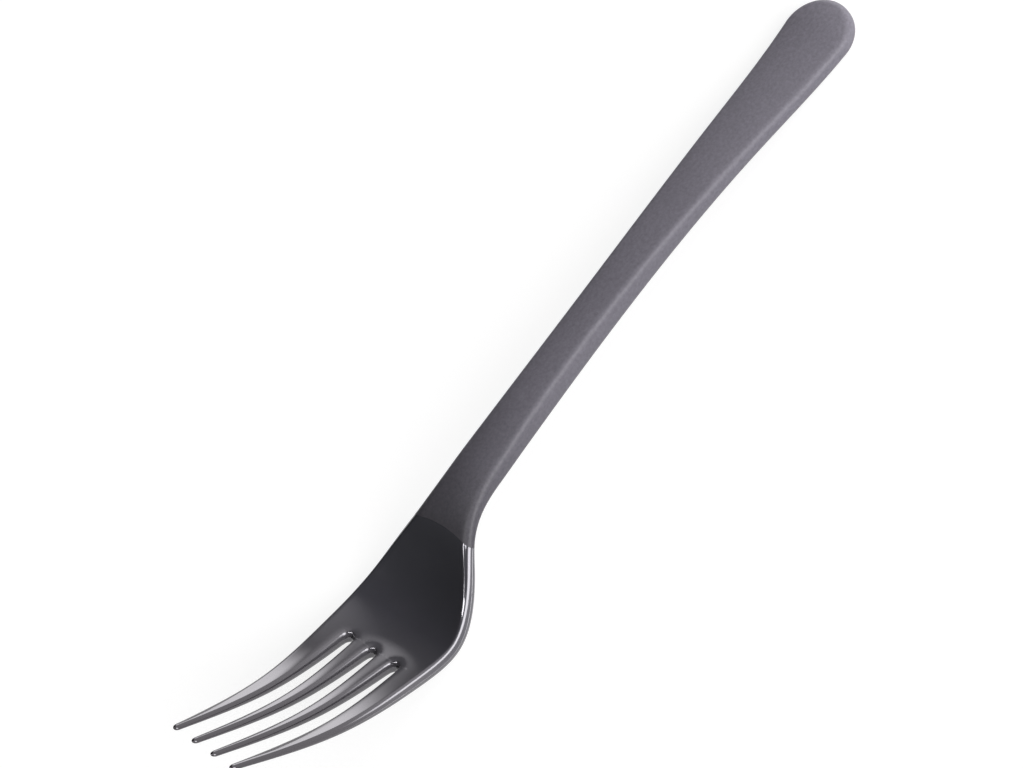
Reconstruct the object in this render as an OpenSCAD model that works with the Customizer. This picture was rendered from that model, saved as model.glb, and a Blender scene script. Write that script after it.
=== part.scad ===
// Four-tine dinner fork moulded in two shots: a gloss head whose tang runs inside a matte handle.
// X runs from the tine tips to the handle end, Z is up, and the fork lies on the plane Z = 0.

/* [Lengths] */
// Overall length, tine tips to handle end
overall_len = 190; // [175:1:205]
// Tine tips to the slot roots
tine_len = 33.2; // [27:0.1:36]
// Slot roots to the lowest place of the bowl
bowl_len = 9.6; // [8:0.1:12]
// Lowest place of the bowl to the shoulders, where it draws in
rear_len = 13.1; // [11:0.1:15]
// Shoulders to the finish line between the head and the handle
neck_len = 5.3; // [4.5:0.1:7]
// Finish line to the crest of the neck
crest_len = 13.8; // [11:0.1:17]
// Crest of the neck to the slimmest place of the shank
shank_len = 37; // [28:1:44]
// Palm of the handle to the handle end
palm_len = 34; // [30:1:42]

/* [Widths] */
// Width across the four tines, half-way along them
tines_w = 22.9; // [22:0.1:25]
// Width across the slot roots
root_w = 27.1; // [26:0.1:29]
// Width of the bowl at its lowest place
bowl_w = 27.9; // [26:0.1:31]
// Width at the shoulders
shoulder_w = 20.3; // [19:0.1:22]
// Width at the finish line
finish_w = 15.2; // [13.5:0.1:16.5]
// Width at the crest of the neck
crest_w = 10.4; // [9.6:0.1:12]
// Width of the shank
shank_w = 8.9; // [8.5:0.1:10.5]
// Width of the palm
palm_w = 12.2; // [10.5:0.1:14]
// Width of the rounded handle end
end_w = 15.6; // [14:0.1:18]

/* [Heights] */
// Height of the tine tips, measured like all of these to the middle of the material
tip_h = 31.9; // [28:0.1:35]
// Height half-way along the tines
tine_h = 15.2; // [14:0.1:17]
// Height of the slot roots
root_h = 5.1; // [4.8:0.1:6.2]
// Height of the shoulders
shoulder_h = 6.6; // [6:0.1:7.2]
// Height of the finish line
finish_h = 9.7; // [9.3:0.1:10.8]
// Height of the crest of the neck
crest_h = 11.2; // [10.5:0.1:13]
// Height of the shank
shank_h = 8.8; // [8:0.1:9.8]
// Height of the palm
palm_h = 4.6; // [4:0.1:5.4]

/* [Thickness] */
// Thickness of the tine tips
tip_t = 1.1; // [1:0.1:1.8]
// Thickness half-way along the tines
tine_t = 2.1; // [1.9:0.1:2.7]
// Thickness of the bowl
bowl_t = 3.2; // [2.8:0.1:3.8]
// Thickness at the finish line
neck_t = 2.9; // [2.5:0.1:3.4]
// Thickness of the neck at its crest
crest_t = 4; // [3.6:0.1:5]
// Thickness of the palm
palm_t = 3.5; // [3.2:0.1:4.2]
// Thickness of the handle end
end_t = 3.2; // [3:0.1:4]

/* [Tines] */
// Distance between the middles of the tines at their tips
tip_pitch = 5.5; // [5:0.05:6]
// Distance between the middles of the slots at their roots
root_pitch = 6.55; // [6.2:0.05:7]
// Width of each tine just behind its round tip
tip_w = 1.4; // [1.2:0.1:2]
// Width of each inner tine half-way along
tine_w = 2.6; // [2.3:0.1:3.2]
// Width of the slots at their round roots
slot_w = 2.1; // [1.7:0.1:2.6]
// How far the bowl's rim stands above its middle
bowl_dish = 1.4; // [0.8:0.1:2.4]
// How far the outer tines stand above the inner ones at the slot roots
root_dish = 0.9; // [0.4:0.1:1.6]

/* [Edges] */
// Reach of the rounded rim along the tines and the bowl
rim_edge = 1; // [0.8:0.05:1.3]
// Reach of the rounded rim at the finish line
neck_edge = 1.9; // [1.3:0.1:2]
// Reach of the rounded edges along the slots and round the tine tips
tine_edge = 0.7; // [0.5:0.05:1]
// Reach of the soft shoulders round the slots
slot_shoulder = 1.8; // [1.2:0.1:2.4]
// How far the top falls away over those shoulders
shoulder_drop = 0.2; // [0.05:0.05:0.3]
// Reach of the rounded edge of the handle
handle_edge = 1.6; // [1.2:0.1:2.4]
// How far the top of the handle swells above its edges
handle_crown = 0.9; // [0.2:0.1:1]

/* [Joint] */
// How far the middle of the finish line bows towards the handle end
finish_bow = 1; // [0.5:0.1:3]
// Tang's end to the handle end
tang_back = 40; // [30:1:60]
// Width of the tang
tang_w = 5.6; // [4.6:0.1:6.4]
// Thickness of the tang
tang_t = 1.6; // [1.2:0.1:1.9]
// Diameter of the key holes through the tang
key_d = 3; // [2:0.1:3.6]
// Finish line to the middle of the first key hole
key_front = 22; // [16:1:26]
// Middle of the last key hole to the tang's end
key_back = 12; // [8:1:20]
// How far each key runs on into the walls of the pocket
key_root = 0.3; // [0.2:0.05:0.5]
// Gap that shrinkage leaves between the two mouldings
shrink_gap = 0.06; // [0.04:0.01:0.12]

/* [Hidden] */
$fn = 48;
tines = 4;
key_count = 3;

// Places along the fork, as distances from the tine tips
slot_r = slot_w / 2;
slot_x = tine_len - slot_r;
bowl_x = tine_len + bowl_len;
shoulder_x = bowl_x + rear_len;
finish_x = shoulder_x + neck_len;
crest_x = finish_x + crest_len;
shank_x = crest_x + shank_len;
palm_x = overall_len - palm_len;
end_r = end_w / 2;
end_x = overall_len - end_r;
tang_end = overall_len - tang_back;
tang_len = tang_end - finish_x;
key_pitch = (tang_len - key_front - key_back) / (key_count - 1);
tip_r = tip_w / 2;
tips_w = (tines - 1) * tip_pitch + tip_w;

// Shape of the rounded edges: 2 is a half circle, and more is squarer
head_power = 2;
handle_power = 3;

// How late the rim's reach grows on its way from the bowl to the finish line: 1 is evenly
rim_growth = 2.5;

// How finely the surfaces are drawn, with the bowl's rows crowded towards the slot roots
crowding = 1.5;
lane_points = 7;
handle_points = (tines - 1) * (lane_points - 1) + 1;
tip_rows = 3;
tine_rows = 10;
slot_rows = 3;
bowl_rows = 14;
tang_rows = 10;
handle_rows = 26;
end_rows = 7;
rest_steps = 200;

// A smooth curve through stations, each [distance from the tips, value]
function gap(p, i) = p[i + 1][0] - p[i][0];
function rise(p, i) = (p[i + 1][1] - p[i][1]) / gap(p, i);
function sweep(p, i = 1, done = [[0, 0]]) =
    i > len(p) - 2 ? done :
    let (share = 2 * (gap(p, i - 1) + gap(p, i)) - gap(p, i - 1) * done[i - 1][0])
    let (pull = 6 * (rise(p, i) - rise(p, i - 1)) - gap(p, i - 1) * done[i - 1][1])
    sweep(p, i + 1, concat(done, [[gap(p, i) / share, pull / share]]));
function settle(swept, i, done = [0]) =
    i < 0 ? done : settle(swept, i - 1, concat([swept[i][1] - swept[i][0] * done[0]], done));
function bends(p) = settle(sweep(p), len(p) - 2);
function span(p, x) = max([for (i = [0 : len(p) - 2]) if (i == 0 || x >= p[i][0]) i]);
function value(p, bend, x) =
    let (i = span(p, x), h = gap(p, i), b = (x - p[i][0]) / h, a = 1 - b)
    a * p[i][1] + b * p[i + 1][1] + ((a ^ 3 - a) * bend[i] + (b ^ 3 - b) * bend[i + 1]) * h * h / 6;
function slope(p, bend, x) =
    let (i = span(p, x), h = gap(p, i), b = (x - p[i][0]) / h, a = 1 - b)
    rise(p, i) + ((3 * b * b - 1) * bend[i + 1] - (3 * a * a - 1) * bend[i]) * h / 6;

height_at = [
    [0, tip_h], [tine_len / 2, tine_h], [tine_len, root_h], [bowl_x, bowl_t / 2],
    [shoulder_x, shoulder_h], [finish_x, finish_h], [crest_x, crest_h], [shank_x, shank_h],
    [palm_x, palm_h], [end_x, end_t / 2], [overall_len, end_t / 2]
];
width_at = [
    [0, tips_w / 2], [tine_len / 2, tines_w / 2], [tine_len, root_w / 2], [bowl_x, bowl_w / 2],
    [shoulder_x, shoulder_w / 2], [finish_x, finish_w / 2], [crest_x, crest_w / 2],
    [shank_x, shank_w / 2], [palm_x, palm_w / 2], [end_x, end_w / 2]
];
thick_at = [
    [0, tip_t], [tine_len / 2, tine_t], [bowl_x, bowl_t], [finish_x, neck_t],
    [crest_x, crest_t], [palm_x, palm_t], [end_x, end_t]
];
dish_at = [[0, 0], [tine_len, root_dish], [bowl_x, bowl_dish], [finish_x, 0], [crest_x, 0], [end_x, 0]];
tine_at = [[0, tip_w / 2], [tine_len / 2, tine_w / 2], [tine_len, (root_pitch - slot_w) / 2]];
height_bend = bends(height_at);
width_bend = bends(width_at);
thick_bend = bends(thick_at);
dish_bend = bends(dish_at);
tine_bend = bends(tine_at);

// Plan outline, thickness and the line of the material's middle
function half_w(x) =
    x < end_x ? value(width_at, width_bend, x) :
    x < overall_len ? sqrt(end_r ^ 2 - (x - end_x) ^ 2) : 0;
function thick(x) = value(thick_at, thick_bend, min(x, end_x));
function dish(x) = value(dish_at, dish_bend, min(x, end_x));
function middle_h(x) = value(height_at, height_bend, x);
function lean(x) = slope(height_at, height_bend, x);
lift = -min([
    for (i = [0 : rest_steps])
        let (x = i * overall_len / rest_steps)
        middle_h(x) - thick(x) / 2 / sqrt(1 + lean(x) ^ 2)
]);

// A point of the fork: y across it, h above the middle of the material
function place(x, y, h) =
    let (s = lean(x), long = sqrt(1 + s * s))
    let (up = h + dish(x) * (y / max(half_w(x), tip_r)) ^ 2)
    [x - overall_len / 2 - up * s / long, y, middle_h(x) + lift + up / long];

// Half the thickness at a distance from the nearest edge
function swell(t, reach, power, edge) =
    t / 2 * (1 - (1 - min(1, max(0, edge) / reach)) ^ power) ^ (1 / power);

// From 0 to 1 without a corner
function ease(share) = let (s = min(1, max(0, share))) s * s * (3 - 2 * s);

// The finish line bows towards the handle end in the middle
function bowed(s, v, share) = s - finish_bow * share * v * v;
function handle_share(s) = max(0, 1 - (s - finish_x) / crest_len) ^ 2;
function head_share(s) = max(0, (s - tine_len) / (finish_x - tine_len)) ^ 2;
function across(points) = [for (i = [0 : points - 1]) (1 - cos(180 * i / (points - 1))) / 2];

// Head: lane n holds one tine and the part of the bowl behind it, and u runs across it from 0 to 1
function pitch(x) = tip_pitch + (root_pitch - tip_pitch) * x / tine_len;
function slot_half(x) =
    x < slot_x ? pitch(x) / 2 - value(tine_at, tine_bend, x) :
    sqrt(max(0, slot_r ^ 2 - (x - slot_x) ^ 2));
function tine_middle(x, n) = (n - (tines - 1) / 2) * pitch(x);
function lane_side(x, n, inward) =
    n == 0 ? -half_w(x) :
    n == tines ? half_w(x) :
    x < tine_len ? (n - tines / 2) * pitch(x) + inward * slot_half(x) :
    (n - tines / 2) * root_pitch * half_w(x) / half_w(tine_len);
function lane_y(x, n, u) =
    let (y = lane_side(x, n, 1) * (1 - u) + lane_side(x, n + 1, -1) * u)
    x < tip_r ? tine_middle(x, n) + sqrt(1 - (1 - x / tip_r) ^ 2) * (y - tine_middle(x, n)) : y;
function slot_margin(x, y, n) =
    x < slot_x ? abs(y - n * pitch(x)) - slot_half(x) :
    norm([x - slot_x, y - n * root_pitch]) - slot_r;
function slots_margin(x, y) = min([for (n = [1 : tines - 1]) slot_margin(x, y, n - tines / 2)]);
function tip_margin(x, y, n) = x > tip_r ? tip_w : tip_r - norm([tip_r - x, y - tine_middle(x, n)]);
function rim_reach(x) =
    rim_edge + (neck_edge - rim_edge) * max(0, (x - bowl_x) / (finish_x - bowl_x)) ^ rim_growth;
function lane_width(x, n) = lane_side(x, n + 1, -1) - lane_side(x, n, 1);

// How far in from the nearest edge, where 1 is past its rounding
function head_depth(x, y, n) =
    let (width = lane_width(x, n), reach = min(tine_edge, width / 2))
    let (rim = (half_w(x) - abs(y)) / min(rim_reach(x), width - reach))
    min(rim, slots_margin(x, y) / reach, tip_margin(x, y, n) / reach);
function slot_drop(x, y, n) =
    shoulder_drop * max(0, 1 - slots_margin(x, y) / min(slot_shoulder, lane_width(x, n) / 2)) ^ 2;
function head_row(s, side) = [
    for (n = [0 : tines - 1], u = across(lane_points))
        let (x = bowed(s, lane_y(s, n, u) / half_w(s), head_share(s)), y = lane_y(x, n, u))
        let (at_slot = s <= tine_len && (u == 0 || u == 1))
        let (at_rim = (n == 0 && u == 0) || (n == tines - 1 && u == 1))
        let (t = thick(x) - 2 * max(0, side) * slot_drop(x, y, n))
        let (h = swell(t, 1, head_power, head_depth(x, y, n)))
        place(x, y, s == 0 || at_slot || at_rim ? 0 : side * h)
];
head_lines = [
    for (n = [0 : tines - 1], u = across(lane_points)) lane_y(finish_x, n, u) / half_w(finish_x)
];
head_stops = [
    for (i = [0 : tip_rows - 1]) tip_r * (1 - cos(90 * i / tip_rows)),
    for (i = [0 : tine_rows]) tip_r + (slot_x - tip_r) * i / tine_rows,
    for (i = [1 : slot_rows - 1]) slot_x + slot_r * sin(90 * i / slot_rows),
    tine_len,
    for (i = [1 : bowl_rows]) tine_len + (finish_x - tine_len) * (i / bowl_rows) ^ crowding
];

// Tang, and the pocket round it when it is grown by the shrinkage gap
function tang_row(s, side, grow, lines, open) = [
    for (v = lines)
        let (t = tang_t + 2 * grow, w = tang_w / 2 + grow, y = v * w)
        let (x = bowed(s, y / half_w(s), handle_share(s)))
        place(x, y, abs(v) == 1 ? 0 : side * open * swell(t, t / 2, head_power, (1 - abs(v)) * w))
];
function tang_surface(side, grow, lines) = [
    for (i = [0 : tang_rows])
        tang_row(finish_x + grow + (tang_len - tang_t) * i / tang_rows, side, grow, lines, 1),
    tang_row(tang_end + grow, side, grow, lines, 0)
];
function head_surface(side) =
    concat([for (s = head_stops) head_row(s, side)], tang_surface(side, 0, head_lines));

// Handle: v runs across it from -1 to 1
handle_lines = [for (u = across(handle_points)) 2 * u - 1];
handle_stops = [
    for (i = [0 : handle_rows])
        finish_x + shrink_gap + (end_x - finish_x - shrink_gap) * i / handle_rows,
    for (i = [1 : end_rows - 1]) end_x + end_r * sin(90 * i / end_rows),
    overall_len
];
function handle_margin(x, y) = x < end_x ? half_w(x) - abs(y) : end_r - norm([x - end_x, y]);
function inwardness(x, y) = 1 - (1 - handle_margin(x, y) / (x < end_x ? half_w(x) : end_r)) ^ 2;
function handle_row(s, side) = [
    for (v = handle_lines)
        let (x = bowed(s, v, handle_share(s)), y = v * half_w(x))
        let (change = min(1, max(0, (x - finish_x) / (crest_x - finish_x))))
        let (reach = neck_edge + (handle_edge - neck_edge) * change)
        let (power = head_power + (handle_power - head_power) * change)
        let (h = swell(thick(x), reach, power, handle_margin(x, y)))
        let (crown = max(0, side) * handle_crown * ease(change) * inwardness(x, y))
        place(x, y, s == overall_len || abs(v) == 1 ? 0 : side * h + crown)
];
function handle_surface(side) = concat(
    [for (i = [len(handle_stops) - 1 : -1 : 0]) handle_row(handle_stops[i], side)],
    tang_surface(side, shrink_gap, handle_lines)
);

// Closed skin between an upper and a lower sheet that meet at their edges, in lanes that may part
function corners_differ(a, b, c) = a != b && b != c && c != a;
module skin(upper, lower, lane_size) {
    rows = len(upper);
    cols = len(upper[0]);
    points = [for (row = concat(upper, lower)) each row];
    faces = [
        for (sheet = [0, 1], r = [0 : rows - 2], c = [0 : cols - 2])
            if ((c + 1) % lane_size != 0)
                let (a = (sheet * rows + r) * cols + c, b = a + 1, d = a + cols, e = d + 1)
                for (f = c + 1 < cols / 2 ? [[a, b, d], [b, e, d]] : [[a, b, e], [a, e, d]])
                    if (corners_differ(points[f[0]], points[f[1]], points[f[2]]))
                        sheet == 0 ? f : [f[1], f[0], f[2]]
    ];
    polyhedron(points, faces);
}

// Upright cylinders where the keys pass through the tang
module keys(d, h) {
    for (i = [0 : key_count - 1])
        translate(place(finish_x + key_front + i * key_pitch, 0, 0))
            cylinder(d = d, h = h, center = true);
}

// Tines, bowl and neck in one gloss moulding, with the tang that the handle is moulded round
module fork_head() {
    color("#33343a")
        difference() {
            skin(head_surface(1), head_surface(-1), lane_points);
            keys(key_d, 2 * tang_t);
        }
}

// Matte handle with the tang's pocket and the keys that fill the tang's holes
module handle() {
    color("#6f6b72") {
        skin(handle_surface(-1), handle_surface(1), handle_points);
        keys(key_d - 2 * shrink_gap, tang_t + 2 * shrink_gap + 2 * key_root);
    }
}

fork_head();
handle();
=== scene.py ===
import math
import bmesh
import bpy
import numpy as np
from mathutils import Matrix, Vector


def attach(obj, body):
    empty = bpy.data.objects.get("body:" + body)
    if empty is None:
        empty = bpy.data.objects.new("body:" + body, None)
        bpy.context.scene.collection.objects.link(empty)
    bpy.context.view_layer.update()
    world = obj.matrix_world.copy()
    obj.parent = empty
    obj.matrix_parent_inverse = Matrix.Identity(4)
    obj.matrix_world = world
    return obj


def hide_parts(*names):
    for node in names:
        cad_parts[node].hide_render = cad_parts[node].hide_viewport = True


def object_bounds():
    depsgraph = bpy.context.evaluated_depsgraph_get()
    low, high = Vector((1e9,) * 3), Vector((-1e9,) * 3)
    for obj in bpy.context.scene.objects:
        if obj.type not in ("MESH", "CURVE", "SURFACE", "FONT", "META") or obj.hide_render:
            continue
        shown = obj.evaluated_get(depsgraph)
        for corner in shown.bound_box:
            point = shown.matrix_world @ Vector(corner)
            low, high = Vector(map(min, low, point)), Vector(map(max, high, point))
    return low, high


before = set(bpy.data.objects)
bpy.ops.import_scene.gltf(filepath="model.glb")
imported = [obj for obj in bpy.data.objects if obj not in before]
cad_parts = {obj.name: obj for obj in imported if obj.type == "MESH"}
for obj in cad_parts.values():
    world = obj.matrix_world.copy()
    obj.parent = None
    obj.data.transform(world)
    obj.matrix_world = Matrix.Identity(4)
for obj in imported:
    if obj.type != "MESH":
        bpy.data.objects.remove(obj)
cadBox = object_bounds()
mm = 0.001  # the fork is worked out in millimetres and built in metres
roundPower = 2  # power of an edge that is a half circle, more is squarer
tiny = 1e-9  # stands in for a width of zero
print("frame loaded:", ", ".join(sorted(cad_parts)))

# the whole fork: lengths back from the tine tips, sizes across, heights of the middle of the plastic
fork = {
    "overallLength": 190.0,
    "tines": 4,
    "tineLength": 33.2,       # tips to slot roots
    "bowlLength": 9.6,        # slot roots to the lowest place of the bowl
    "rearLength": 13.1,       # on to the shoulders
    "neckLength": 5.3,        # on to the finish line
    "crestLength": 13.8,      # on to the crest of the neck
    "shankLength": 37.0,      # on to the slimmest place of the shank
    "palmLength": 34.0,       # palm to the handle end
    "tinesWidth": 22.9,
    "rootWidth": 27.1,
    "bowlWidth": 27.9,
    "shoulderWidth": 20.3,
    "finishWidth": 15.2,
    "crestWidth": 10.4,
    "shankWidth": 8.9,
    "palmWidth": 12.2,
    "endWidth": 15.6,
    "tipHeight": 31.9,
    "tineHeight": 15.2,
    "rootHeight": 5.1,
    "shoulderHeight": 6.6,
    "finishHeight": 9.7,
    "crestHeight": 11.2,
    "shankHeight": 8.8,
    "palmHeight": 4.6,
    "tipThick": 1.1,
    "tineThick": 2.1,
    "bowlThick": 3.2,
    "neckThick": 2.9,         # at the finish line
    "crestThick": 4.0,
    "palmThick": 3.5,
    "endThick": 3.2,
    "bowlDish": 1.4,          # rim above the middle of the bowl
    "rootDish": 0.9,
    "tipPitch": 5.5,
    "tipWidth": 1.4,
    "finishBow": 1.0,         # how far the finish line bows towards the handle end
    "tangBack": 40.0,         # tang's end to the handle end
    "tangWidth": 5.6,
    "tangThick": 1.6,
    "restPoints": 201,        # places where the underside is tried for its lowest
}


# a smooth curve through stations, each a distance from the tips and a value there
def smoothCurve(stations):
    at = np.array([s[0] for s in stations], float)
    value = np.array([s[1] for s in stations], float)
    step = np.diff(at)
    rise = np.diff(value) / step
    count = len(at)
    system = np.eye(count)
    pull = np.zeros(count)
    for i in range(1, count - 1):
        system[i, i - 1:i + 2] = step[i - 1], 2 * (step[i - 1] + step[i]), step[i]
        pull[i] = 6 * (rise[i] - rise[i - 1])
    bend = np.linalg.solve(system, pull)

    def curve(x, slope=False):
        i = np.clip(np.searchsorted(at, x, side="right") - 1, 0, count - 2)
        h = step[i]
        b = (x - at[i]) / h
        a = 1 - b
        if slope:
            return rise[i] + ((3 * b * b - 1) * bend[i + 1] - (3 * a * a - 1) * bend[i]) * h / 6
        bow = ((a ** 3 - a) * bend[i] + (b ** 3 - b) * bend[i + 1]) * h * h / 6
        return a * value[i] + b * value[i + 1] + bow

    return curve


tineMid = fork["tineLength"] / 2
rootX = fork["tineLength"]
bowlX = rootX + fork["bowlLength"]
shoulderX = bowlX + fork["rearLength"]
finishX = shoulderX + fork["neckLength"]
crestX = finishX + fork["crestLength"]
shankX = crestX + fork["shankLength"]
palmX = fork["overallLength"] - fork["palmLength"]
endRadius = fork["endWidth"] / 2
endX = fork["overallLength"] - endRadius
tipRadius = fork["tipWidth"] / 2
tipsWidth = (fork["tines"] - 1) * fork["tipPitch"] + fork["tipWidth"]
tangEnd = fork["overallLength"] - fork["tangBack"]

heightCurve = smoothCurve([
    (0, fork["tipHeight"]), (tineMid, fork["tineHeight"]), (rootX, fork["rootHeight"]),
    (bowlX, fork["bowlThick"] / 2), (shoulderX, fork["shoulderHeight"]), (finishX, fork["finishHeight"]),
    (crestX, fork["crestHeight"]), (shankX, fork["shankHeight"]), (palmX, fork["palmHeight"]),
    (endX, fork["endThick"] / 2), (fork["overallLength"], fork["endThick"] / 2)])
widthCurve = smoothCurve([
    (0, tipsWidth), (tineMid, fork["tinesWidth"]), (rootX, fork["rootWidth"]),
    (bowlX, fork["bowlWidth"]), (shoulderX, fork["shoulderWidth"]), (finishX, fork["finishWidth"]),
    (crestX, fork["crestWidth"]), (shankX, fork["shankWidth"]), (palmX, fork["palmWidth"]),
    (endX, fork["endWidth"])])
thickCurve = smoothCurve([
    (0, fork["tipThick"]), (tineMid, fork["tineThick"]), (bowlX, fork["bowlThick"]),
    (finishX, fork["neckThick"]), (crestX, fork["crestThick"]), (palmX, fork["palmThick"]),
    (endX, fork["endThick"])])
dishCurve = smoothCurve([
    (0, 0), (rootX, fork["rootDish"]), (bowlX, fork["bowlDish"]), (finishX, 0), (crestX, 0), (endX, 0)])


def halfWidth(x):
    x = np.asarray(x, float)
    cap = np.sqrt(np.maximum(endRadius ** 2 - (np.maximum(x, endX) - endX) ** 2, 0))
    return np.where(x < endX, widthCurve(np.minimum(x, endX)) / 2, cap)


def thickness(x):
    return thickCurve(np.minimum(x, endX))


# lift that sets the lowest place of the fork on the floor
restLine = np.linspace(0, fork["overallLength"], fork["restPoints"])
restLean = heightCurve(restLine, slope=True)
restLift = -np.min(heightCurve(restLine) - thickness(restLine) / 2 / np.sqrt(1 + restLean ** 2))


# a point of the fork: x back from the tips, y across, up above the middle of the plastic
def placePoint(x, y, up):
    lean = heightCurve(x, slope=True)
    long = np.sqrt(1 + lean * lean)
    rise = up + dishCurve(np.minimum(x, endX)) * (y / np.maximum(halfWidth(x), tipRadius)) ** 2
    forward = x - fork["overallLength"] / 2 - rise * lean / long
    return np.stack([forward, y, heightCurve(x) + restLift + rise / long], -1)


# half the thickness at a margin from the nearest edge, whose rounding reaches so far in
def swell(thick, reach, power, margin):
    inner = 1 - np.clip(margin / reach, 0, 1)
    return thick / 2 * np.maximum(1 - inner ** power, 0) ** (1 / power)


# from 0 to 1 without a corner
def ease(share):
    share = np.clip(share, 0, 1)
    return share * share * (3 - 2 * share)


# lines across the fork bow towards its tips at the sides, and v is -1 and 1 there
def bowLine(s, v, share):
    return s - fork["finishBow"] * share * v * v


# how much of the finish line's bow is left further along the handle
def handleShare(s):
    return np.clip(1 - (s - finishX) / fork["crestLength"], 0, None) ** 2


# columns across a strip: crowded round both edges and even between, as shares of edge zone and width
def stripColumns(edgeAngles, flatSteps):
    turn = 1 - np.cos(np.radians(edgeAngles))
    flat = np.arange(1, flatSteps) / flatSteps
    ofEdge = np.concatenate([turn, 1 - 2 * flat, -turn[::-1]])
    ofWidth = np.concatenate([np.zeros(len(turn)), flat, np.ones(len(turn))])
    return ofEdge, ofWidth


# tang, or the pocket round it when grown
def tangRows(lines, grow, side, count):
    stops = np.linspace(finishX + grow, tangEnd + grow - fork["tangThick"], count)
    half = fork["tangWidth"] / 2 + grow
    thick = fork["tangThick"] + 2 * grow
    rows = []
    for s in np.append(stops, tangEnd + grow):
        y = lines * half
        x = bowLine(s, y / halfWidth(s), handleShare(s))
        up = swell(thick, thick / 2, roundPower, (1 - np.abs(lines)) * half) * (s < tangEnd)
        rows.append(placePoint(x, y, side * up))
    return np.array(rows)


# closed skin of an upper and a lower sheet that meet at their edges, in strips that may part
def skinPiece(name, upper, lower, stripSize):
    rows, cols = upper.shape[:2]
    points = np.concatenate([upper.reshape(-1, 3), lower.reshape(-1, 3)]) * mm
    r, c = np.meshgrid(np.arange(rows - 1), np.arange(cols - 1), indexing="ij")
    inStrip = (c + 1) % stripSize != 0
    first = (r * cols + c)[inStrip]
    quads = np.stack([first, first + cols, first + cols + 1, first + 1], -1)
    below = quads[:, ::-1] + rows * cols
    mesh = bpy.data.meshes.new(name)
    mesh.from_pydata(points.tolist(), [], np.concatenate([quads, below]).tolist())
    piece = bpy.data.objects.new(name, mesh)
    bpy.context.scene.collection.objects.link(piece)
    closeSkin(mesh)
    return piece


def closeSkin(mesh, weld=1e-7, crease=50):
    skin = bmesh.new()
    skin.from_mesh(mesh)
    bmesh.ops.remove_doubles(skin, verts=skin.verts, dist=weld)
    bmesh.ops.dissolve_degenerate(skin, edges=skin.edges, dist=weld)
    bmesh.ops.recalc_face_normals(skin, faces=skin.faces)
    openEdges = sum(not e.is_manifold for e in skin.edges)
    skin.to_mesh(mesh)
    skin.free()
    mesh.polygons.foreach_set("use_smooth", [True] * len(mesh.polygons))
    mesh.set_sharp_from_angle(angle=math.radians(crease))
    print(mesh.name, len(mesh.polygons), "faces,", openEdges, "open edges")


# head: tines, bowl and neck, with the tang inside the handle
head = {
    "rootPitch": 6.55,        # slot to slot at the roots
    "tineWidth": 2.6,         # half-way along
    "slotWidth": 2.1,         # at the round roots
    "rimEdge": 1.0,           # reach of the rounded rim along the tines and the bowl
    "neckEdge": 1.9,          # reach of the rounded rim at the finish line
    "rimGrowth": 2.5,         # how late the reach grows between the two, 1 is evenly
    "slotEdge": 0.7,          # reach of the rounded edges along the slots and tips
    "edgeShare": 0.4,         # most of a tine's width that the columns of one edge take
    "shoulder": 1.8,          # reach of the soft shoulders round the slots
    "shoulderDrop": 0.2,      # how far the top falls away over a shoulder
    "partingLine": 0.05,      # how far the mould's parting line stands proud
    "edgeAngles": (0, 3, 7, 13, 21, 30, 40, 50, 60, 70, 80, 90),
    "flatSteps": 8,
    "tipRows": 8,
    "tineRows": 84,
    "slotRows": 12,
    "bowlRows": 80,
    "tangRows": 24,
}

slotRadius = head["slotWidth"] / 2
slotX = rootX - slotRadius
tineCurve = smoothCurve([
    (0, tipRadius), (tineMid, head["tineWidth"] / 2),
    (rootX, (head["rootPitch"] - head["slotWidth"]) / 2)])


def tinePitch(x):
    return fork["tipPitch"] + (head["rootPitch"] - fork["tipPitch"]) * x / rootX


def rimReach(x):
    share = np.maximum((x - bowlX) / (finishX - bowlX), 0)
    return head["rimEdge"] + (head["neckEdge"] - head["rimEdge"]) * share ** head["rimGrowth"]


def tineMiddle(x, n):
    return (n - (fork["tines"] - 1) / 2) * tinePitch(x)


def slotHalf(x):
    roundRoot = np.sqrt(np.maximum(slotRadius ** 2 - (x - slotX) ** 2, 0))
    return np.where(x < slotX, tinePitch(x) / 2 - tineCurve(np.minimum(x, rootX)), roundRoot)


# the side of a lane, which is a tine with the part of the bowl behind it
def laneSide(x, n, inward):
    if n == 0:
        return -halfWidth(x)
    if n == fork["tines"]:
        return halfWidth(x)
    place = n - fork["tines"] / 2
    beside = place * tinePitch(x) + inward * slotHalf(x)
    behind = place * head["rootPitch"] * halfWidth(x) / halfWidth(rootX)
    return np.where(x < rootX, beside, behind)


# where a lane's columns lie across the fork, and the lane's width
def laneLine(x, n, columns):
    ofEdge, ofWidth = columns
    left = laneSide(x, n, 1)
    width = laneSide(x, n + 1, -1) - left
    zone = np.minimum(rimReach(x), head["edgeShare"] * width)
    y = left + zone * ofEdge + width * ofWidth
    middle = tineMiddle(x, n)
    taper = np.sqrt(np.maximum(1 - (1 - np.minimum(1, x / tipRadius)) ** 2, 0))
    return np.where(x < tipRadius, middle + taper * (y - middle), y), width


# distance from the nearest slot
def slotMargin(x, y):
    margins = []
    for n in range(1, fork["tines"]):
        place = n - fork["tines"] / 2
        beside = np.abs(y - place * tinePitch(x)) - slotHalf(x)
        behind = np.hypot(x - slotX, y - place * tinePitch(np.minimum(x, rootX))) - slotRadius
        margins.append(np.where(x < slotX, beside, behind))
    return np.minimum.reduce(margins)


# distance from the round tip of a tine
def tipMargin(x, y, n, width):
    middle = tineMiddle(x, n)
    half = np.where(y < middle, middle - laneSide(x, n, 1), laneSide(x, n + 1, -1) - middle)
    fromRound = tipRadius - np.hypot(tipRadius - x, (y - middle) * tipRadius / half)
    return np.where(x < tipRadius, fromRound, width)


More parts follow.
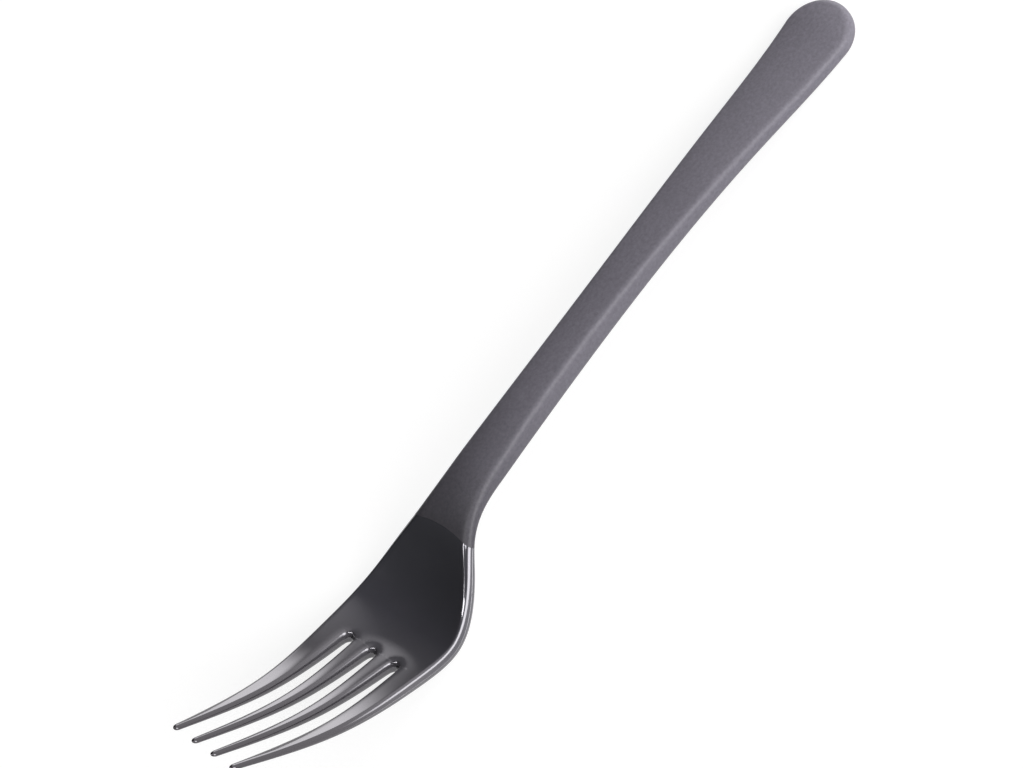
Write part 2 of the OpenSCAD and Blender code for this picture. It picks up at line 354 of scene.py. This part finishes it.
def headSheets():
    stops = np.concatenate([
        tipRadius * (1 - np.cos(np.linspace(0, math.pi / 2, head["tipRows"], endpoint=False))),
        np.linspace(tipRadius, slotX, head["tineRows"]),
        slotX + slotRadius * np.sin(np.linspace(0, math.pi / 2, head["slotRows"], endpoint=False))[1:],
        np.linspace(rootX, finishX, head["bowlRows"])])
    columns = stripColumns(head["edgeAngles"], head["flatSteps"])
    share = np.clip((stops - rootX) / (finishX - rootX), 0, None)[:, None] ** 2
    s = np.repeat(stops[:, None], len(columns[0]), 1)
    lanes = [[], []]
    lines = []
    for n in range(fork["tines"]):
        v = laneLine(s, n, columns)[0] / halfWidth(s)
        lines.append(v[-1])
        x = bowLine(s, v, share)
        y, width = laneLine(x, n, columns)
        slotReach = np.minimum(head["slotEdge"], width / 2)
        rim = (halfWidth(x) - np.abs(y)) / np.minimum(rimReach(x), width - slotReach)
        slot = slotMargin(x, y) / slotReach
        tip = tipMargin(x, y, n, width) / slotReach
        depth = np.minimum.reduce([rim, slot, tip])
        depth[0] = 0  # the two sheets meet along the tips, the slots and the rim
        depth[stops <= rootX, 0] = 0
        depth[stops <= rootX, -1] = 0
        if n == 0:
            depth[:, 0] = 0
            y[:, 0] -= head["partingLine"] * (stops > tipRadius)
        if n == fork["tines"] - 1:
            depth[:, -1] = 0
            y[:, -1] += head["partingLine"] * (stops > tipRadius)
        shoulder = 1 - np.clip(slotMargin(x, y) / np.minimum(head["shoulder"], width / 2), 0, 1)
        drop = head["shoulderDrop"] * shoulder ** 2
        for sheet, side in zip(lanes, (1, -1)):
            up = swell(thickness(x) - 2 * drop * (side > 0), 1, roundPower, depth)
            sheet.append(placePoint(x, y, side * up))
    lines = np.concatenate(lines)
    return [np.concatenate([np.concatenate(sheet, 1), tangRows(lines, 0, side, head["tangRows"])])
            for sheet, side in zip(lanes, (1, -1))]


headUpper, headLower = headSheets()
headPiece = skinPiece("forkHead", headUpper, headLower, headUpper.shape[1] // fork["tines"])
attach(headPiece, "root")
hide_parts("fork_head")
print("head built")

# handle: arched bar with a rounded end, over the tang
handle = {
    "edge": 1.6,              # reach of the rounded edge
    "edgeShare": 0.4,         # most of the half width that the columns of an edge take
    "edgePower": 3.0,         # of the edge from the crest on, and at the finish line it is round
    "crown": 0.9,             # how far the top swells above its edges
    "seam": 0.02,             # gap at the finish line
    "pocketGap": 0.06,        # gap round the tang
    "edgeAngles": (0, 6, 12, 20, 28, 36, 44, 52, 60, 70, 80, 90),
    "flatSteps": 22,
    "barRows": 220,
    "endRows": 40,
    "pocketRows": 24,
}


def handleSheets():
    stops = np.concatenate([
        np.linspace(finishX + handle["seam"], endX, handle["barRows"]),
        endX + endRadius * np.sin(np.linspace(0, math.pi / 2, handle["endRows"])[1:])])
    stops[-1] = fork["overallLength"]
    ofEdge, ofWidth = stripColumns(handle["edgeAngles"], handle["flatSteps"])
    s = np.repeat(stops[:, None], len(ofEdge), 1)
    half = halfWidth(s)
    zone = np.minimum(handle["edge"], handle["edgeShare"] * half)
    v = (zone * ofEdge + 2 * half * ofWidth) / np.maximum(half, tiny) - 1
    v[-1] = v[-2]  # the last row is one point
    x = bowLine(s, v, handleShare(s))
    y = v * halfWidth(x)
    change = np.clip((x - finishX) / (crestX - finishX), 0, 1)
    margin = np.where(x < endX, halfWidth(x) - np.abs(y), endRadius - np.hypot(x - endX, y))
    reach = head["neckEdge"] + (handle["edge"] - head["neckEdge"]) * change
    power = roundPower + (handle["edgePower"] - roundPower) * change
    up = swell(thickness(x), reach, power, margin)
    up[:, 0] = 0
    up[:, -1] = 0
    up[-1] = 0
    outward = 1 - margin / np.where(x < endX, np.maximum(halfWidth(x), tiny), endRadius)
    crown = handle["crown"] * ease(change) * (1 - outward ** 2)
    sheets = []
    for side in (-1, 1):
        outer = placePoint(x, y, side * up + crown * (side > 0))[::-1]
        pocket = tangRows(v[0], handle["pocketGap"], side, handle["pocketRows"])
        sheets.append(np.concatenate([outer, pocket]))
    return sheets


handleLower, handleUpper = handleSheets()
handlePiece = skinPiece("handleGrip", handleLower, handleUpper, handleLower.shape[1])
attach(handlePiece, "root")
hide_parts("handle")
print("handle built")


# materials
def addNode(tree, kind, **settings):
    node = tree.nodes.new(kind)
    for name, value in settings.items():
        if hasattr(node, name):
            setattr(node, name, value)
        else:
            node.inputs[name.replace("_", " ")].default_value = value
    return node


def addNoise(tree, coords, **settings):
    noise = addNode(tree, "ShaderNodeTexNoise", **settings)
    tree.links.new(coords, noise.inputs["Vector"])
    return noise.outputs["Fac"]


# a value from 0 to 1, spread from low to high
def spreadValue(tree, value, low, high):
    spread = addNode(tree, "ShaderNodeMapRange", To_Min=low, To_Max=high)
    tree.links.new(value, spread.inputs["Value"])
    return spread.outputs["Result"]


# share of the way along the fork from start to end
def shareAlong(tree, coords, start, end):
    split = addNode(tree, "ShaderNodeSeparateXYZ")
    tree.links.new(coords, split.inputs[0])
    share = addNode(tree, "ShaderNodeMapRange", From_Min=start, From_Max=end)
    tree.links.new(split.outputs["X"], share.inputs["Value"])
    return share.outputs["Result"]


def joinValues(tree, operation, first, second):
    joined = addNode(tree, "ShaderNodeMath", operation=operation)
    tree.links.new(first, joined.inputs[0])
    tree.links.new(second, joined.inputs[1])
    return joined.outputs[0]


def colourRamp(tree, factor, stops):
    ramp = addNode(tree, "ShaderNodeValToRGB")
    marks = ramp.color_ramp.elements
    while len(marks) < len(stops):
        marks.new(0.5)  # placed below
    for mark, (place, colour) in zip(marks, stops):
        mark.position = place
        mark.color = (*colour, 1)
    tree.links.new(factor, ramp.inputs["Fac"])
    return ramp.outputs["Color"]


def newMaterial(name):
    material = bpy.data.materials.new(name)
    material.use_nodes = True
    tree = material.node_tree
    shader = tree.nodes["Principled BSDF"]
    coords = addNode(tree, "ShaderNodeTexCoord")
    return material, tree, shader, coords.outputs["Object"]


# body colour, lighter and darker with the tone
def setColour(tree, shader, body, tone):
    shade = addNode(tree, "ShaderNodeHueSaturation")
    tree.links.new(body, shade.inputs["Color"])
    tree.links.new(tone, shade.inputs["Value"])
    tree.links.new(shade.outputs["Color"], shader.inputs["Base Color"])


def setBump(tree, shader, height, strength, depth):
    bump = addNode(tree, "ShaderNodeBump", Strength=strength, Distance=depth)
    tree.links.new(height, bump.inputs["Height"])
    tree.links.new(bump.outputs["Normal"], shader.inputs["Normal"])


# gloss plastic: near-black at the tips, a little lighter round the slot roots and at the neck
gloss = {
    "tones": (                # along the head, as shares of its length, and the colour there
        (0.00, (0.018, 0.015, 0.018)),
        (0.25, (0.030, 0.027, 0.031)),
        (0.52, (0.073, 0.070, 0.078)),
        (0.69, (0.047, 0.046, 0.055)),
        (0.95, (0.062, 0.062, 0.072)),
    ),
    "ior": 1.85,
    "tint": (0.97, 0.94, 1.0),  # of its reflections
    "roughness": (0.05, 0.09),
    "cloudScale": 90,         # cloudiness, features per metre
    "cloudDetail": 3.0,
    "cloudTone": (0.88, 1.12),  # how far it darkens and lightens
    "waveScale": 260,         # faint waviness of the moulded skin
    "waveDetail": 1.0,
    "waveStrength": 0.4,
    "waveDepth": 0.000008,
}


def glossPlastic():
    material, tree, shader, coords = newMaterial("glossPlastic")
    along = shareAlong(tree, coords, cadBox[0].x, cadBox[0].x + finishX * mm)
    body = colourRamp(tree, along, gloss["tones"])
    cloud = addNoise(tree, coords, Scale=gloss["cloudScale"], Detail=gloss["cloudDetail"])
    setColour(tree, shader, body, spreadValue(tree, cloud, *gloss["cloudTone"]))
    tree.links.new(spreadValue(tree, cloud, *gloss["roughness"]), shader.inputs["Roughness"])
    wave = addNoise(tree, coords, Scale=gloss["waveScale"], Detail=gloss["waveDetail"])
    setBump(tree, shader, wave, gloss["waveStrength"], gloss["waveDepth"])
    shader.inputs["IOR"].default_value = gloss["ior"]
    shader.inputs["Specular Tint"].default_value = (*gloss["tint"], 1)
    return material


# matte plastic with the fine grain of a blasted mould, with painted shade that darkens it towards the
# neck and lightens it towards the handle end
matte = {
    "dark": (0.178, 0.168, 0.199),
    "light": (0.242, 0.228, 0.270),
    "tones": (                # painted shade along the handle, as shares of its length, and how light it is there
        (0.00, 0.33),
        (0.10, 0.52),
        (0.25, 0.69),
        (0.50, 0.735),
        (0.70, 0.79),
        (0.85, 0.86),
        (1.00, 1.00),
    ),
    "ior": 1.36,
    "roughness": (0.40, 0.50),
    "mottleScale": 1500,      # mottling between dark and light, features per metre
    "mottleDetail": 4.0,
    "mottleRoughness": 0.65,
    "mottleSpan": (0.3, 0.7),  # dark up to the first, light from the second
    "flowScale": 60,          # broad, faint flow of the plastic
    "flowDetail": 2.0,
    "flowTone": (0.94, 1.06),
    "grainScale": 3200,       # grain of the skin
    "grainDetail": 2.0,
    "grainStrength": 0.5,
    "grainDepth": 0.00004,
}


def mattePlastic():
    material, tree, shader, coords = newMaterial("mattePlastic")
    mottle = addNoise(tree, coords, Scale=matte["mottleScale"], Detail=matte["mottleDetail"],
                      Roughness=matte["mottleRoughness"])
    body = colourRamp(tree, mottle, list(zip(matte["mottleSpan"], (matte["dark"], matte["light"]))))
    flow = addNoise(tree, coords, Scale=matte["flowScale"], Detail=matte["flowDetail"])
    along = shareAlong(tree, coords, cadBox[0].x + finishX * mm, cadBox[1].x)
    # painted shade, held in depth: darkest at the neck, whose top faces away from the light, and
    # lightest at the handle end
    depth = colourRamp(tree, along, [(place, (tone,) * 3) for place, tone in matte["tones"]])
    tone = joinValues(tree, "MULTIPLY", spreadValue(tree, flow, *matte["flowTone"]), depth)
    setColour(tree, shader, body, tone)
    grain = addNoise(tree, coords, Scale=matte["grainScale"], Detail=matte["grainDetail"])
    tree.links.new(spreadValue(tree, grain, *matte["roughness"]), shader.inputs["Roughness"])
    setBump(tree, shader, grain, matte["grainStrength"], matte["grainDepth"])
    shader.inputs["IOR"].default_value = matte["ior"]
    return material


headPiece.data.materials.append(glossPlastic())
handlePiece.data.materials.append(mattePlastic())
print("materials on")

# floor: white to the camera and in reflections, and still darker where the fork shades it
floor = {
    "size": 6.0,
    "bounce": (0.35, 0.35, 0.35),   # colour that lights the fork from below
    "shade": (0.30, 0.30, 0.30),    # colour that takes the fork's shadow
    "glow": 0.81,
}


def layFloor():
    half = floor["size"] / 2
    mesh = bpy.data.meshes.new("floor")
    corners = [(-half, -half, 0), (half, -half, 0), (half, half, 0), (-half, half, 0)]
    mesh.from_pydata(corners, [], [(0, 1, 2, 3)])
    piece = bpy.data.objects.new("floor", mesh)
    bpy.context.scene.collection.objects.link(piece)
    material = bpy.data.materials.new("whiteFloor")
    material.use_nodes = True
    tree = material.node_tree
    tree.nodes.clear()
    output = addNode(tree, "ShaderNodeOutputMaterial")
    lit = addNode(tree, "ShaderNodeBsdfDiffuse", Color=(*floor["bounce"], 1))
    faint = addNode(tree, "ShaderNodeBsdfDiffuse", Color=(*floor["shade"], 1))
    glow = addNode(tree, "ShaderNodeEmission", Strength=floor["glow"])
    seen = addNode(tree, "ShaderNodeAddShader")
    tree.links.new(faint.outputs[0], seen.inputs[0])
    tree.links.new(glow.outputs[0], seen.inputs[1])
    pick = addNode(tree, "ShaderNodeMixShader")
    tree.links.new(seenRays(tree), pick.inputs["Fac"])
    tree.links.new(lit.outputs[0], pick.inputs[1])
    tree.links.new(seen.outputs[0], pick.inputs[2])
    tree.links.new(pick.outputs[0], output.inputs["Surface"])
    mesh.materials.append(material)


# rays that see the floor as a white background: from the camera, and by way of a gloss or clear surface
def seenRays(tree):
    path = addNode(tree, "ShaderNodeLightPath")
    either = joinValues(tree, "MAXIMUM", path.outputs["Is Camera Ray"], path.outputs["Is Glossy Ray"])
    return joinValues(tree, "MAXIMUM", either, path.outputs["Is Transmission Ray"])


layFloor()

# room: dark, with soft windows, each by its turn from +X and its height, at its full level within one
# angle from its middle and dark from another on, all in degrees
room = {
    "dark": 0.01,
    "windows": {
        "front": {"turn": -81, "height": 26, "full": 9, "fades": 27, "level": 7.4},
        "side": {"turn": 35, "height": 10.5, "full": 4, "fades": 22, "level": 4.5},
        "fill": {"turn": -31, "height": 16, "full": 46, "fades": 70, "level": 1.08},
    },
}


def lightRoom():
    world = bpy.data.worlds.new("studio")
    bpy.context.scene.world = world
    world.use_nodes = True
    tree = world.node_tree
    coords = addNode(tree, "ShaderNodeTexCoord")
    total = None
    for window in room["windows"].values():
        turn, height = math.radians(window["turn"]), math.radians(window["height"])
        facing = addNode(tree, "ShaderNodeVectorMath", operation="DOT_PRODUCT")
        facing.inputs[1].default_value = (
            math.cos(height) * math.cos(turn), math.cos(height) * math.sin(turn), math.sin(height))
        tree.links.new(coords.outputs["Generated"], facing.inputs[0])
        glow = addNode(tree, "ShaderNodeMapRange", interpolation_type="SMOOTHSTEP",
                       From_Min=math.cos(math.radians(window["fades"])),
                       From_Max=math.cos(math.radians(window["full"])),
                       To_Min=room["dark"] / len(room["windows"]), To_Max=window["level"])
        tree.links.new(facing.outputs["Value"], glow.inputs["Value"])
        level = glow.outputs["Result"]
        total = level if total is None else joinValues(tree, "ADD", total, level)
    light = tree.nodes["Background"]
    light.inputs["Color"].default_value = (1, 1, 1, 1)
    tree.links.new(total, light.inputs["Strength"])


lightRoom()

# tube lamps overhead, whose short streaks lie along the inside of the rim, each by the sideways parts of
# the directions from the bowl to its two ends
tubes = {
    "bowl": (-0.04, 0, 0.01),
    "distance": 1.1,
    "lamps": {
        "neckTube": {"ends": ((-0.545, 0.18), (-0.53, 0.31)), "width": 0.10, "level": 13.0},
        "bowlTube": {"ends": ((-0.24, -0.33), (-0.465, 0.32)), "width": 0.13, "level": 13.0},
    },
}


def hangTubes():
    bowl = Vector(tubes["bowl"])
    for name, tube in tubes["lamps"].items():
        ends = [bowl + tubes["distance"] * Vector((x, y, math.sqrt(1 - x * x - y * y)))
                for x, y in tube["ends"]]
        middle = (ends[0] + ends[1]) / 2
        lamp = bpy.data.lights.new(name, "AREA")
        lamp.shape = "RECTANGLE"
        lamp.size, lamp.size_y = tube["width"], (ends[1] - ends[0]).length
        lamp.energy = tube["level"] * math.pi * lamp.size * lamp.size_y
        away = (middle - bowl).normalized()
        long = (ends[1] - ends[0]).normalized()
        side = long.cross(away).normalized()
        hung = bpy.data.objects.new(name, lamp)
        hung.visible_diffuse = False  # for the gloss alone
        turn = Matrix((side, away.cross(side), away)).transposed()
        hung.matrix_world = Matrix.Translation(middle) @ turn.to_4x4()
        bpy.context.scene.collection.objects.link(hung)


hangTubes()
print("floor, room and lamps set")

# camera: from above the near side, rolled so that the fork runs from lower left to upper right
view = {
    "place": (-0.08839, -0.47585, 0.61278),
    "aim": (-0.00355, 0.00799, 0.008),
    "roll": -47.44,
    "lens": 141.36,
    "nearest": 0.01,          # nothing nearer is drawn
}


def placeCamera():
    camera = bpy.data.cameras.new("camera")
    camera.lens = view["lens"]
    camera.clip_start = view["nearest"]
    eye = bpy.data.objects.new("camera", camera)
    look = Vector(view["aim"]) - Vector(view["place"])
    roll = Matrix.Rotation(math.radians(view["roll"]), 3, "Z")
    turn = look.to_track_quat("-Z", "Y").to_matrix() @ roll
    eye.matrix_world = Matrix.Translation(view["place"]) @ turn.to_4x4()
    bpy.context.scene.collection.objects.link(eye)
    bpy.context.scene.camera = eye


placeCamera()
bpy.context.scene.view_settings.view_transform = "Standard"
print("camera placed")
